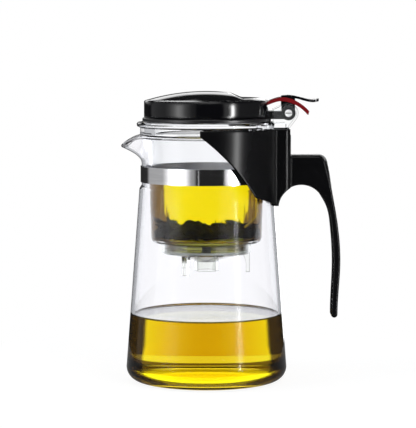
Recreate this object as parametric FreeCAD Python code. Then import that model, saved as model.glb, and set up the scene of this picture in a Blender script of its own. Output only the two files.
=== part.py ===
"""Glass teapot with a lift-out infuser: a tapered glass jug in a strapped-on handle, a clear infuser cup
with a hinged lid, and a thumb lever that lifts a drain valve so the brewed tea falls into the jug.

Millimetres, +Z up, origin at the centre of the jug's foot. The handle points along +X, the spout along -X.
"""

import FreeCAD
import Part
import math
import os
from FreeCAD import Vector

# Jug: one piece of blown glass, a cone that narrows to a straight neck
base_radius = 46.6
shoulder_radius = 38.8
neck_radius = 37.5
shoulder_z = 111.5
neck_z = 113.0
jug_height = 143.0
glass_wall = 2.2
glass_floor = 3.2
base_corner = 8.0
rim_bead = 0.9

# Pouring lip, pulled out of the rim and drooping to its tip
spout_reach = 12.2
spout_drop = 6.2
spout_depth = 19.6
spout_tip_depth = 7.2
spout_half_width = 14.0
spout_tip_half_width = 3.0

# Strap: a stainless hoop round the neck, drawn tight by one screw behind the handle
strap_thickness = 0.6
strap_height = 9.2
strap_z = 115.5
strap_tab_gap = 2.4
strap_tab_length = 6.0
clamp_screw_radius = 1.5
clamp_head_radius = 2.8
clamp_head_height = 2.0
clamp_nut_flats = 5.5
clamp_nut_height = 2.4
thread_gap = 0.1

# Handle: a moulded saddle that hugs the neck, a squared spine behind it and an open grip
saddle_gap = 0.35
saddle_wall = 3.5
saddle_top_rise = 3.3
saddle_front_x = 3.6
saddle_front_height = 3.2
saddle_sweep_x = 7.9
saddle_sweep_drop = 9.7
saddle_edge_x = 26.6
saddle_edge_z = 110.2
saddle_heel_x = 31.0
saddle_heel_z = 107.2
saddle_tip_z = 102.3
spine_depth = 6.55
spine_half_width = 13.0
spine_corner = 4.0
grip_top_z = 131.4
grip_end_z = 36.7
grip_reach = 29.1
grip_bend = 5.5
grip_shoulder = 13.0
grip_tuck = 1.5
grip_waist = 4.4
grip_end_width = 3.9
grip_half_width = 9.0
grip_end_half_width = 6.4
grip_edge = 1.0
grip_crown = 1.3
finger_radius = 13.3
finger_x = 6.1
finger_z = 100.75

# Infuser cup: clear plastic, hangs in the neck by its flange
cup_gap = 1.3
cup_taper = 1.9
cup_wall = 1.8
cup_floor_z = 80.4
cup_floor = 2.0
cup_corner = 2.6
seat_gap = 0.3
flange_overhang = 2.8
flange_lip_rise = 1.0
flange_height = 6.7
flange_edge = 0.8

# Rod channel, moulded on the inside of the cup at the handle side
rod_inset = 6.6
channel_wall = 0.9
channel_bore = 2.3
channel_bottom_z = 100.0
channel_drop = 6.8

# Screwed filter base under the cup, with the drain nozzle and three short feet
base_ring_radius = 26.1
base_ring_wall = 1.6
collar_gap = 0.2
collar_wall = 1.6
collar_depth = 4.2
base_rim_gap = 0.3
base_depth = 6.0
base_plate = 1.7
base_dish = 4.4
seal_height = 1.0
nozzle_radius = 7.25
nozzle_wall = 1.6
nozzle_bottom_z = 63.8
valve_seat_depth = 2.0
feet_bottom_z = 63.0
feet_count = 3
foot_depth = 2.3
foot_half_width = 1.6

# Filter screen: a perforated steel disc on the cup's floor
screen_thickness = 0.6
screen_overlap = 2.4
screen_hole_radius = 1.2
screen_pitch = 4.4
screen_rings = 4
screen_slot_gap = 0.6

# Hinge at the handle side, shared by the lid and the drain lever
pivot_reach = 6.7
pivot_rise = 5.4
pin_radius = 1.5
pin_gap = 0.06
pin_head_radius = 2.1
pin_head_height = 0.7
hub_radius = 4.2
ear_radius = 5.7
ear_thickness = 2.2
ear_gap = 0.3
lug_thickness = 2.5
lug_gap = 0.3
lever_half_width = 5.1
ear_front_gap = 1.3
bracket_reach = 1.4

# Drain lever: thumb plate, stem and the arm that lifts the rod
stem_front = 3.9
stem_back = 4.0
thumb_rise = 9.7
thumb_dip = 1.7
thumb_reach = 17.6
thumb_thickness = 1.4
thumb_neck = 7.4
thumb_half_width = 8.0
thumb_neck_half_width = 4.0
arm_thickness = 2.2
arm_half_width = 3.6
arm_nose = 3.4
arm_slot_gap = 0.4

# Pull rod and valve: a bent steel wire with a soft plug at its foot
rod_radius = 1.0
rod_gap = 0.12
rod_bend = 3.5
rod_collar_inset = 3.9
rod_shift_drop = 5.0
rod_shift_bottom_z = 86.5
rod_arm_z = 77.0
rod_head_radius = 2.5
rod_head_height = 1.6
rod_head_gap = 0.5
plug_gap = 0.15
plug_stem_radius = 2.4
plug_skirt = 2.4
spring_collar_radius = 2.0
spring_collar_height = 1.4
spring_gap = 0.1
spring_wire_radius = 0.24
spring_radius = 1.6
spring_length = 16.0
spring_turns = 9
guide_height = 3.0
guide_lip = 1.0

# Lid: a glossy domed cover clipped on a liner, with a red thumb tab let into its back
liner_inset = 3.3
liner_height = 2.2
lid_seat_gap = 0.3
cover_inset = 0.95
cover_wall = 1.8
cover_edge = 1.0
skirt_height = 9.8
dome_height = 5.5
shelf_x = 20.5
shelf_slope_x = 13.5
shelf_sink = 1.6
notch_gap = 0.8
notch_rise = 4.2
liner_notch_x = 21.0
lug_drop = 3.5
lug_lift = 1.0
lug_root = 5.0
fit_gap = 0.1
tab_thickness = 2.2
tab_rise = 8.9
tab_front_rise = 6.3
tab_back_reach = 12.0
tab_back_rise = 1.0
tab_window_gap = 0.4
tab_window_back = 6.6
tab_root = 1.2
screw_radius = 1.2
screw_head_radius = 2.1
screw_head_height = 1.1
screw_length = 6.5
boss_radius = 2.8
screw_x = -14.0
screw_y = 17.0

# Sizes worked out from the ones above
neck_bore = neck_radius - glass_wall
strap_radius = neck_radius + strap_thickness
saddle_bore = strap_radius + saddle_gap
saddle_radius = saddle_bore + saddle_wall
saddle_top_z = jug_height + saddle_top_rise
spine_x = saddle_radius + spine_depth
cup_radius = neck_bore - cup_gap
seat_z = jug_height + seat_gap
flange_radius = neck_radius + flange_overhang
flange_top_z = seat_z + flange_height
rod_x = cup_radius - rod_inset
channel_radius = channel_bore + channel_wall
channel_top_z = flange_top_z - channel_drop
collar_radius = base_ring_radius - base_ring_wall - collar_gap
collar_bore = collar_radius - collar_wall
collar_bottom_z = cup_floor_z - collar_depth
base_top_z = cup_floor_z - base_rim_gap
base_bottom_z = base_top_z - base_depth
nozzle_bore = nozzle_radius - nozzle_wall
pivot_x = flange_radius + pivot_reach
pivot_z = flange_top_z + pivot_rise
lug_inner = lever_half_width + lug_gap
lug_outer = lug_inner + lug_thickness
ear_inner = lug_outer + ear_gap
ear_outer = ear_inner + ear_thickness
liner_radius = flange_radius - liner_inset
liner_bottom_z = flange_top_z + lid_seat_gap
cover_radius = liner_radius - cover_inset
cover_bottom_z = liner_bottom_z + liner_height
skirt_top_z = cover_bottom_z + skirt_height
dome_top_z = skirt_top_z + dome_height
rod_top_z = pivot_z + arm_thickness / 2 + rod_head_gap
bent_rod_x = collar_bore - rod_collar_inset
rod_shift_top_z = channel_bottom_z - rod_shift_drop
finger_centre_x = spine_x + finger_x
spring_top_z = channel_top_z - guide_height - spring_gap
spring_bottom_z = spring_top_z - spring_length

# How far the cutting bodies reach past what they cut
past = 5.0
far = 200.0


def at(x, z, y=0.0):
    return Vector(x, y, z)


def line(a, b):
    return Part.LineSegment(a, b).toShape()


def arc(a, middle, b):
    return Part.Arc(a, middle, b).toShape()


def polyline(*points):
    return [line(a, b) for a, b in zip(points, points[1:])]


def curve(*points, start=None, end=None):
    """Smooth curve through points, with its directions at both ends if they are given."""
    spline = Part.BSplineCurve()
    if start:
        spline.interpolate(Points=list(points), InitialTangent=start, FinalTangent=end)
    else:
        spline.interpolate(list(points))
    return spline.toShape()


def face(edges):
    return Part.Face(Part.Wire(Part.__sortEdges__(edges)))


def revolve(edges):
    return face(edges).revolve(Vector(0, 0, 0), Vector(0, 0, 1), 360)


def across(edges, low, high):
    """A profile in the XZ plane, drawn out along Y from low to high."""
    flat = face(edges)
    flat.translate(Vector(0, low, 0))
    return flat.extrude(Vector(0, high - low, 0))


def block(x0, x1, y0, y1, z0, z1):
    return Part.makeBox(x1 - x0, y1 - y0, z1 - z0, Vector(x0, y0, z0))


def upright(radius, x, y, z0, z1):
    return Part.makeCylinder(radius, z1 - z0, Vector(x, y, z0))


def crosswise(radius, x, z, y0, y1):
    return Part.makeCylinder(radius, y1 - y0, Vector(x, y0, z), Vector(0, 1, 0))


def ring(outer, inner, z0, z1):
    return upright(outer, 0, 0, z0, z1).cut(upright(inner, 0, 0, z0 - past, z1 + past))


def edges_where(shape, test):
    return [edge for edge in shape.Edges if test(edge.BoundBox)]


def round_edges(shape, radius, test):
    return shape.makeFillet(radius, edges_where(shape, test))


def glass_radius(z):
    """Outer radius of the jug's cone at a height."""
    share = (z - base_corner) / (shoulder_z - base_corner)
    return base_radius + (shoulder_radius - base_radius) * share


def cup_outer(z):
    """Outer radius of the infuser's tapered wall at a height."""
    share = (seat_z - z) / (seat_z - cup_floor_z)
    return cup_radius - cup_taper * share


def jug_outside():
    foot = base_radius - base_corner
    diagonal = base_corner * math.sqrt(0.5)
    bend = at(foot + diagonal, base_corner - diagonal)
    edges = polyline(at(0, jug_height), at(0, 0), at(foot, 0))
    edges.append(arc(at(foot, 0), bend, at(base_radius, base_corner)))
    edges += polyline(at(base_radius, base_corner), at(shoulder_radius, shoulder_z), at(neck_radius, neck_z),
                      at(neck_radius, jug_height - 3 * rim_bead))
    bulge = at(neck_radius + rim_bead / 2, jug_height - 1.5 * rim_bead)
    edges.append(arc(at(neck_radius, jug_height - 3 * rim_bead), bulge, at(neck_radius, jug_height)))
    edges.append(line(at(neck_radius, jug_height), at(0, jug_height)))
    return revolve(edges)


def jug_inside():
    corner = base_corner - glass_wall
    wall = base_radius - glass_wall
    diagonal = corner * math.sqrt(0.5)
    floor = glass_floor
    bend = at(wall - corner + diagonal, floor + corner - diagonal)
    edges = polyline(at(0, jug_height + past), at(0, floor), at(wall - corner, floor))
    edges.append(arc(at(wall - corner, floor), bend, at(wall, floor + corner)))
    edges += polyline(at(wall, floor + corner), at(shoulder_radius - glass_wall, shoulder_z), at(neck_bore, neck_z),
                      at(neck_bore, jug_height + past), at(0, jug_height + past))
    return revolve(edges)


def spout_section(reach, depth, half_width, top):
    """A trough across the spout at a distance from the jug's axis, with a round bottom."""
    x = -reach
    low = jug_height - depth
    shoulder = low + min(half_width, 0.6 * depth)
    edges = [arc(at(x, shoulder, -half_width), at(x, low), at(x, shoulder, half_width))]
    edges += polyline(at(x, shoulder, half_width), at(x, top, half_width), at(x, top, -half_width),
                      at(x, shoulder, -half_width))
    return Part.Wire(Part.__sortEdges__(edges))


def spout_trough(wall, top):
    """The spout's round-bottomed trough, taken in by a wall thickness on every side."""
    stations = 5
    sections = []
    for step in range(stations):
        share = step / (stations - 1)
        reach = neck_radius - 1 + (spout_reach + 1) * share
        depth = spout_tip_depth + (spout_depth - spout_tip_depth) * (1 - share) ** 2.6
        half_width = spout_tip_half_width + (spout_half_width - spout_tip_half_width) * (1 - share) ** 1.3
        thin = wall * (1 - 0.35 * share)
        sections.append(spout_section(reach, depth - thin, half_width - thin, top))
    return Part.makeLoft(sections, True, False)


def above_lip():
    """Everything above the rim line, which droops from the rim to the spout's tip."""
    tip = at(-neck_radius - spout_reach - past, jug_height - spout_drop - past)
    bow = at(-neck_radius - 0.62 * spout_reach, jug_height - 0.3 * spout_drop)
    edges = [arc(at(-neck_radius, jug_height), bow, tip)]
    edges += polyline(tip, at(tip.x, jug_height + far), at(-neck_radius, jug_height + far), at(-neck_radius, jug_height))
    return across(edges, -far, far)


def glass_pot():
    top = jug_height + past
    lip = spout_trough(0, top).cut(above_lip())
    lip = lip.cut(block(-far, far, -far, far, jug_height, jug_height + far))
    back = spout_trough(glass_wall, top)
    pot = jug_outside().fuse(lip)
    return pot.cut(jug_inside()).cut(back).removeSplitter()


def steel_strap():
    hoop = ring(strap_radius, neck_radius + thread_gap, strap_z, strap_z + strap_height)
    inner = strap_tab_gap / 2
    hoop = hoop.cut(block(0, far, -inner, inner, 0, far))
    end = strap_radius + strap_tab_length
    for side in (-1, 1):
        low, high = sorted((side * inner, side * (inner + strap_thickness)))
        tab = block(neck_radius + strap_thickness / 2, end, low, high, strap_z, strap_z + strap_height)
        hoop = hoop.fuse(tab)
    hole = crosswise(clamp_screw_radius + thread_gap, clamp_x(), clamp_z(), -far, far)
    return hoop.cut(hole).removeSplitter()


def clamp_x():
    return strap_radius + strap_tab_length - clamp_screw_radius - 1.2


def clamp_z():
    return strap_z + strap_height / 2


def clamp_outer():
    return strap_tab_gap / 2 + strap_thickness + thread_gap


def strap_screw():
    start = clamp_outer()
    shank = crosswise(clamp_screw_radius, clamp_x(), clamp_z(), -start - clamp_nut_height, start)
    head = crosswise(clamp_head_radius, clamp_x(), clamp_z(), start, start + clamp_head_height)
    slot = block(-far, far, start + clamp_head_height / 2, far, clamp_z() - 0.4, clamp_z() + 0.4)
    return shank.fuse(head).cut(slot).removeSplitter()


def hexagon(flats, height, grow=0.0):
    corner = (flats / 2 + grow) / math.cos(math.pi / 6)
    points = [Vector(corner * math.cos(k * math.pi / 3), corner * math.sin(k * math.pi / 3), 0) for k in range(7)]
    return Part.Face(Part.makePolygon(points)).extrude(Vector(0, 0, height))


def strap_nut():
    nut = hexagon(clamp_nut_flats, clamp_nut_height)
    nut.rotate(Vector(0, 0, 0), Vector(1, 0, 0), 90)
    nut.translate(Vector(clamp_x(), -clamp_outer(), clamp_z()))
    return nut.cut(crosswise(clamp_screw_radius + thread_gap, clamp_x(), clamp_z(), -far, far))


def saddle():
    """Half-sleeve round the neck, cut back along a sweeping edge from the front top to the tip below."""
    sleeve = ring(saddle_radius, saddle_bore, saddle_tip_z, saddle_top_z)
    tip_x = saddle_radius + past
    top = at(-saddle_front_x, saddle_top_z)
    front = at(-saddle_front_x, saddle_top_z - saddle_front_height)
    edge, heel = at(saddle_edge_x, saddle_edge_z), at(saddle_heel_x, saddle_heel_z)
    sweep = at(saddle_sweep_x, jug_height - saddle_sweep_drop)
    slope = math.hypot(edge.x - sweep.x, edge.z - sweep.z)
    corner = at(0.5 * (edge.x + heel.x) - 0.6, 0.5 * (edge.z + heel.z) - 0.5)
    edges = [line(top, front),
             curve(front, sweep, edge, end=Vector((edge.x - sweep.x) / slope, 0, (edge.z - sweep.z) / slope)),
             arc(edge, corner, heel)]
    edges += polyline(heel, at(saddle_radius, saddle_tip_z), at(tip_x, saddle_tip_z), at(tip_x, saddle_top_z), top)
    return sleeve.common(across(edges, -far, far))


def spine():
    root = block(neck_radius, spine_x, -spine_half_width, spine_half_width, saddle_tip_z, saddle_top_z)
    root = round_edges(root, spine_corner, lambda box: box.ZLength > 1 and box.XMin > spine_x - 0.1)
    return root.cut(finger_hole())


def finger_hole():
    return crosswise(finger_radius, finger_centre_x, finger_z, -far, far)


def grip_profile(crown=0.0):
    """Side view of the grip: over the top, down the back to its free end and up round the fingers."""
    root = neck_radius
    back = spine_x + grip_reach
    crest = grip_top_z - crown
    end_radius = grip_end_width / 2 - crown / 8
    down = Vector(0, 0, -1)
    top = at(back - grip_shoulder - 0.3 * crown, crest)
    turn = math.radians(14)
    side = at(top.x + grip_bend * math.cos(turn) - 1.1 * crown, crest - grip_bend * (1 - math.sin(turn)))
    bend = at(top.x + grip_bend * math.sqrt(0.5) - 0.6 * crown, crest - grip_bend * (1 - math.sqrt(0.5)))
    outer_end = at(back - grip_tuck - crown / 4, grip_end_z + grip_end_width / 2)
    inner_end = at(outer_end.x - 2 * end_radius, outer_end.z)
    tip = at(outer_end.x - end_radius, outer_end.z - end_radius)
    reach = math.radians(32)
    leave = at(finger_centre_x + finger_radius * math.cos(reach), finger_z + finger_radius * math.sin(reach))
    over = at(finger_centre_x, finger_z + finger_radius)
    land = at(finger_centre_x - finger_radius, finger_z)
    waist_z = 0.5 * (finger_z + grip_end_z)
    edges = polyline(land, at(root, finger_z), at(root, crest), top)
    edges.append(arc(top, bend, side))
    edges.append(curve(side, at(back - 3.8 - 0.5 * crown, finger_z + 4.2), at(back - 1.9 - 0.4 * crown, finger_z - 7.2),
                       at(back - 0.3 * crown, waist_z), outer_end,
                       start=Vector(math.sin(turn), 0, -math.cos(turn)), end=down))
    edges.append(arc(outer_end, tip, inner_end))
    edges.append(curve(inner_end, at(back - grip_waist, waist_z), at(back - grip_waist - 1.3, finger_z - 10.6),
                       at(back - 2 * grip_waist + 0.7, finger_z + 0.6), leave,
                       start=-down, end=Vector(-math.sin(reach), 0, math.cos(reach))))
    edges.append(arc(leave, over, land))
    return edges


def grip():
    """The grip's back is crowned: it falls away from the middle to both sides, and the sides close in downwards."""
    wide, narrow = grip_half_width, grip_end_half_width
    sections = []
    for side in (-1, 0, 1):
        section = Part.Wire(grip_profile(grip_crown * abs(side)))
        section.translate(Vector(0, side * wide, 0))
        sections.append(section)
    blank = Part.makeLoft(sections, True, False)
    drop = grip_end_z - past
    rise = grip_top_z + past
    points = [Vector(0, -wide, rise), Vector(0, wide, rise), Vector(0, narrow, drop), Vector(0, -narrow, drop),
              Vector(0, -wide, rise)]
    taper = Part.Face(Part.makePolygon(points)).extrude(Vector(far, 0, 0))
    body = blank.common(taper)
    return round_edges(body, grip_edge, lambda box: box.YLength < 2 * wide - 2 * narrow and box.XMax > spine_x + 1)


def handle():
    body = spine().fuse(grip()).fuse(saddle().cut(finger_hole()))
    body = body.cut(block(-far, spine_x, -far, far, 0, saddle_tip_z))
    clear = upright(saddle_bore, 0, 0, shoulder_z, saddle_top_z + past)
    low = saddle_tip_z - past
    cone = Part.makeCone(glass_radius(low) + saddle_gap, glass_radius(shoulder_z) + saddle_gap, shoulder_z - low,
                         Vector(0, 0, low))
    shoulder = Part.makeCone(shoulder_radius + saddle_gap, saddle_bore, neck_z - shoulder_z, Vector(0, 0, shoulder_z))
    body = body.cut(clear).cut(cone).cut(shoulder)
    room = ear_outer + saddle_gap
    body = body.cut(upright(flange_radius + saddle_gap, 0, 0, jug_height, saddle_top_z + past))
    body = body.cut(block(0, far, -room, room, jug_height, saddle_top_z + past))
    inner = clamp_outer()
    x_end = strap_radius + strap_tab_length + saddle_gap
    body = body.cut(block(0, x_end, -inner, inner, strap_z - saddle_gap, strap_z + strap_height + saddle_gap))
    nut = hexagon(clamp_nut_flats, clamp_nut_height + saddle_gap, saddle_gap)
    nut.rotate(Vector(0, 0, 0), Vector(1, 0, 0), 90)
    nut.translate(Vector(clamp_x(), -inner, clamp_z()))
    access = crosswise(clamp_head_radius + saddle_gap, clamp_x(), clamp_z(), inner, far)
    return body.cut(nut).cut(access).removeSplitter()


def cup_shell():
    """Revolved cup: flange, tapered wall, ring-shaped floor and the collar that takes the filter base."""
    seat_edge = neck_radius + rim_bead
    lip_z = seat_z + flange_lip_rise
    bottom = cup_outer(cup_floor_z)
    inner_top = cup_radius - cup_wall
    inner_bottom = cup_outer(cup_floor_z + cup_floor) - cup_wall
    floor_z = cup_floor_z + cup_floor
    bend = cup_corner * (1 - math.sqrt(0.5))
    corner_z = cup_floor_z + cup_corner
    edges = polyline(at(collar_bore, floor_z), at(inner_bottom, floor_z), at(inner_top, flange_top_z),
                     at(flange_radius - flange_edge, flange_top_z), at(flange_radius, flange_top_z - flange_edge),
                     at(flange_radius - flange_edge, lip_z), at(seat_edge, lip_z), at(seat_edge, seat_z),
                     at(cup_radius, seat_z), at(cup_outer(corner_z), corner_z))
    edges.append(arc(at(cup_outer(corner_z), corner_z), at(bottom - bend, cup_floor_z + bend),
                     at(bottom - cup_corner, cup_floor_z)))
    edges += polyline(at(bottom - cup_corner, cup_floor_z), at(collar_radius, cup_floor_z),
                      at(collar_radius, collar_bottom_z), at(collar_bore, collar_bottom_z), at(collar_bore, floor_z))
    return revolve(edges)


def ear_profile():
    """Side view of a hinge ear: round over the pin, sloping back down to the flange's bracket."""
    front = liner_radius + ear_front_gap
    low = seat_z + flange_lip_rise
    back = flange_radius + bracket_reach + 4.0
    tilt = math.radians(-38)
    leave = at(pivot_x + ear_radius * math.cos(tilt), pivot_z + ear_radius * math.sin(tilt))
    crest = at(pivot_x + ear_radius * math.cos(math.radians(40)), pivot_z + ear_radius * math.sin(math.radians(40)))
    start = at(pivot_x - 0.6 * ear_radius, pivot_z + 0.8 * ear_radius)
    edges = polyline(at(front, low), at(front, pivot_z + 0.35 * ear_radius), start)
    edges.append(arc(start, crest, leave))
    edges += polyline(leave, at(back, low), at(front, low))
    return edges


def hinge_ears():
    low = seat_z + flange_lip_rise
    back = flange_radius + bracket_reach + 4.0
    bracket = block(cup_radius, back, -ear_outer, ear_outer, low, flange_top_z - flange_edge)
    ears = bracket.fuse(across(ear_profile(), -ear_outer, -ear_inner)).fuse(across(ear_profile(), ear_inner, ear_outer))
    return ears


def rod_channel():
    tube = upright(channel_radius, rod_x, 0, channel_bottom_z, channel_top_z)
    web = block(rod_x, cup_radius - cup_wall / 2 - cup_taper / 2, -0.6 * channel_radius, 0.6 * channel_radius,
                channel_bottom_z, channel_top_z)
    return tube.fuse(web)


def infuser_cup():
    cup = cup_shell().fuse(hinge_ears()).fuse(rod_channel())
    cup = cup.cut(upright(channel_bore, rod_x, 0, channel_bottom_z - past, channel_top_z + past))
    cup = cup.cut(crosswise(pin_radius, pivot_x, pivot_z, -far, far))
    return cup.removeSplitter()


def rod_guide():
    bush = upright(channel_bore, rod_x, 0, channel_top_z - guide_height, channel_top_z)
    lip = upright(channel_radius, rod_x, 0, channel_top_z, channel_top_z + guide_lip)
    bore = upright(rod_radius + rod_gap, rod_x, 0, 0, far)
    return bush.fuse(lip).cut(bore).removeSplitter()


def hinge_pin():
    end = ear_outer + pin_head_height
    pin = crosswise(pin_radius, pivot_x, pivot_z, -ear_outer, end)
    head = crosswise(pin_head_radius, pivot_x, pivot_z, -end, -ear_outer)
    slot = block(pivot_x - far, pivot_x + far, -end - past, -end + pin_head_height / 2, pivot_z - 0.3, pivot_z + 0.3)
    return pin.fuse(head.cut(slot)).removeSplitter()


def pin_cap():
    cap = crosswise(pin_head_radius, pivot_x, pivot_z, ear_outer, ear_outer + 2 * pin_head_height)
    return cap.cut(crosswise(pin_radius, pivot_x, pivot_z, 0, ear_outer + pin_head_height))


def filter_screen():
    low = cup_floor_z + cup_floor
    disc = upright(collar_bore + screen_overlap, 0, 0, low, low + screen_thickness)
    cuts = []
    for ring_number in range(screen_rings + 1):
        count = max(1, 6 * ring_number)
        for k in range(count):
            turn = 2 * math.pi * k / count
            x = screen_pitch * ring_number * math.cos(turn)
            y = screen_pitch * ring_number * math.sin(turn)
            if math.hypot(x - bent_rod_x, y) > screen_pitch:
                cuts.append(upright(screen_hole_radius, x, y, low - past, low + past))
    cuts.append(upright(rod_radius + screen_slot_gap, bent_rod_x, 0, low - past, low + past))
    return disc.cut(Part.makeCompound(cuts))


def base_floor(offset):
    """Height of the dished floor's underside at the rim and at the nozzle."""
    return base_bottom_z + offset, base_bottom_z - base_dish + offset


def filter_base():
    rim_low, middle_low = base_floor(0)
    rim_up, middle_up = base_floor(base_plate)
    wall = base_ring_radius - base_ring_wall
    corner = 1.6
    bend = corner * (1 - math.sqrt(0.5))
    seat = nozzle_bore + valve_seat_depth / 2
    seal_z = collar_bottom_z - seal_height - seat_gap / 2
    edges = polyline(at(nozzle_bore, nozzle_bottom_z), at(nozzle_radius, nozzle_bottom_z),
                     at(nozzle_radius, middle_low), at(base_ring_radius - corner, rim_low))
    edges.append(arc(at(base_ring_radius - corner, rim_low), at(base_ring_radius - bend, rim_low + bend),
                     at(base_ring_radius, rim_low + corner)))
    edges += polyline(at(base_ring_radius, rim_low + corner), at(base_ring_radius, base_top_z), at(wall, base_top_z),
                      at(wall, seal_z), at(collar_bore - 0.4, seal_z), at(collar_bore - 1.2, rim_up - 0.2),
                      at(seat, middle_up), at(nozzle_bore, middle_up - valve_seat_depth),
                      at(nozzle_bore, nozzle_bottom_z))
    base = revolve(edges)
    for k in range(feet_count):
        base = base.fuse(base_foot(360 * k / feet_count))
    return base.removeSplitter()


def base_foot(turn):
    outer = base_ring_radius - 1.0
    inner = outer - foot_depth
    top = base_bottom_z + base_plate / 2
    edges = polyline(at(inner, feet_bottom_z), at(outer, feet_bottom_z), at(outer, top), at(inner - 3.0, top))
    edges.append(arc(at(inner - 3.0, top), at(inner - 0.8, top - 3.4), at(inner, feet_bottom_z + 4.0)))
    edges.append(line(at(inner, feet_bottom_z + 4.0), at(inner, feet_bottom_z)))
    foot = across(edges, -foot_half_width, foot_half_width)
    foot.rotate(Vector(0, 0, 0), Vector(0, 0, 1), turn)
    return foot


def base_seal():
    low = collar_bottom_z - seal_height
    return ring(collar_radius - 0.1, collar_bore + 0.1, low, collar_bottom_z)


def drain_lever():
    return drain_lever_blank().cut(crosswise(pin_radius + pin_gap, pivot_x, pivot_z, -far, far)).removeSplitter()


def thumb_plate():
    """S-shaped plate over the stem, narrow between the lid's tabs and wider where the thumb presses."""
    top = pivot_z + thumb_rise
    low = top - thumb_dip
    start, end = pivot_x - stem_front, pivot_x + thumb_reach
    bend, flat = pivot_x + thumb_neck - 2.0, pivot_x + thumb_neck + 3.4
    down = Vector(0, 0, -thumb_thickness)
    upper = [at(start, top), at(bend, top - 0.3), at(0.5 * (bend + flat), 0.5 * (top + low) - 0.15), at(flat, low),
             at(end, low + 0.2)]
    lower = [p + down for p in upper]
    edges = [curve(*upper), line(upper[-1], lower[-1]), curve(*lower), line(lower[0], upper[0])]
    plate = across(edges, -thumb_half_width, thumb_half_width)
    neck = pivot_x + thumb_neck
    plan = plate
    for side in (-1, 1):
        low_y, high_y = sorted((side * thumb_neck_half_width, side * far))
        plan = plan.cut(block(start - past, neck, low_y, high_y, 0, far))
    corner = 3.0
    tip = [edge for edge in plan.Edges if edge.BoundBox.XMin > end - 0.1 and edge.BoundBox.YLength < 0.1]
    return plan.makeFillet(corner, tip)


def drain_lever_blank():
    hub = crosswise(hub_radius, pivot_x, pivot_z, -lever_half_width, lever_half_width)
    stem = block(pivot_x - stem_front, pivot_x + stem_back, -thumb_neck_half_width, thumb_neck_half_width, pivot_z,
                 pivot_z + thumb_rise - thumb_thickness / 2)
    half = arm_thickness / 2
    nose = rod_x - arm_nose
    arm = block(nose, pivot_x, -arm_half_width, arm_half_width, pivot_z - half, pivot_z + half)
    arm = round_edges(arm, arm_half_width * 0.6, lambda box: box.XMax < nose + 0.1 and box.ZLength > 1)
    slot = rod_radius + arm_slot_gap
    arm = arm.cut(block(nose - past, rod_x, -slot, slot, 0, far)).cut(upright(slot, rod_x, 0, 0, far))
    return hub.fuse(stem).fuse(arm).fuse(thumb_plate())


def rod_path():
    """Down the channel, in under the cup's floor and across to the drain."""
    corners = [at(rod_x, rod_top_z), at(rod_x, rod_shift_top_z), at(bent_rod_x, rod_shift_bottom_z),
               at(bent_rod_x, rod_arm_z), at(0, rod_arm_z)]
    edges = []
    start = corners[0]
    for before, corner, after in zip(corners, corners[1:], corners[2:]):
        into = (corner - before).normalize()
        out = (after - corner).normalize()
        turn = into.getAngle(out)
        cut = rod_bend * math.tan(turn / 2)
        a = corner - into * cut
        b = corner + out * cut
        chord = (a + b) * 0.5
        centre = corner + (chord - corner).normalize() * (rod_bend / math.cos(turn / 2))
        middle = centre + (corner - centre).normalize() * rod_bend
        edges += [line(start, a), arc(a, middle, b)]
        start = b
    edges.append(line(start, corners[-1]))
    return Part.Wire(edges)


def pull_rod():
    path = rod_path()
    start = path.Edges[0].Vertexes[0].Point
    section = Part.Wire(Part.makeCircle(rod_radius, start, Vector(0, 0, 1)))
    return path.makePipeShell([section], True, False)


def rod_head():
    cap = upright(rod_head_radius, rod_x, 0, rod_top_z, rod_top_z + rod_head_height)
    return round_edges(cap, 0.5, lambda box: box.ZMin > rod_top_z + rod_head_height - 0.1)


def spring_collar():
    z = spring_bottom_z - spring_gap
    collar = upright(spring_collar_radius, rod_x, 0, z - spring_collar_height, z)
    return collar.cut(upright(rod_radius, rod_x, 0, 0, far))


def valve_plug():
    """Soft stopper: a stem clipped on the end of the rod's arm, a cone that closes the nozzle's seat."""
    seat_top = base_bottom_z - base_dish + base_plate
    seat_radius = nozzle_bore + valve_seat_depth / 2
    low = seat_top - plug_skirt
    stem_top = rod_arm_z + rod_radius + 0.8
    edges = polyline(at(0, low), at(nozzle_bore - plug_gap - 1.2, low),
                     at(nozzle_bore - plug_gap, seat_top - valve_seat_depth),
                     at(seat_radius - plug_gap, seat_top), at(seat_radius - plug_gap, seat_top + 0.5),
                     at(plug_stem_radius, seat_top + 1.0), at(plug_stem_radius, stem_top), at(0, stem_top),
                     at(0, low))
    plug = revolve(edges)
    return plug.cut(Part.makeCylinder(rod_radius, far, Vector(0, 0, rod_arm_z), Vector(1, 0, 0)))


def return_spring():
    """Closed wire coil between the collar on the rod and the guide at the top of the channel."""
    height = spring_length - 2 * spring_wire_radius
    quarter = 0.5 * math.pi
    rise = height / (4 * spring_turns)
    start_z = spring_bottom_z + spring_wire_radius

    def coil(step):
        turn = quarter * step
        return Vector(rod_x + spring_radius * math.cos(turn), spring_radius * math.sin(turn), start_z + rise * step)

    edges = [arc(coil(k), coil(k + 0.5), coil(k + 1)) for k in range(4 * spring_turns)]
    pitch = height / spring_turns
    print(f"return_spring: least gap between turns {pitch - 2 * spring_wire_radius:.2f} mm")
    path = Part.Wire(edges)
    start = path.Edges[0].firstVertex().Point
    heading = path.Edges[0].tangentAt(path.Edges[0].FirstParameter)
    section = Part.Wire(Part.makeCircle(spring_wire_radius, start, heading))
    return path.makePipeShell([section], True, False)


def dome(radius, low_z, rise):
    """Disc with a shallow domed top, closed underneath."""
    crown = low_z + rise
    half = 0.5 * radius
    sphere = (radius * radius + rise * rise) / (2 * rise)
    mid = crown - sphere + math.sqrt(sphere * sphere - half * half)
    edges = [line(at(0, cover_bottom_z), at(radius, cover_bottom_z)), line(at(radius, cover_bottom_z), at(radius, low_z)),
             arc(at(radius, low_z), at(half, mid), at(0, crown)), line(at(0, crown), at(0, cover_bottom_z))]
    return revolve(edges)


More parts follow.
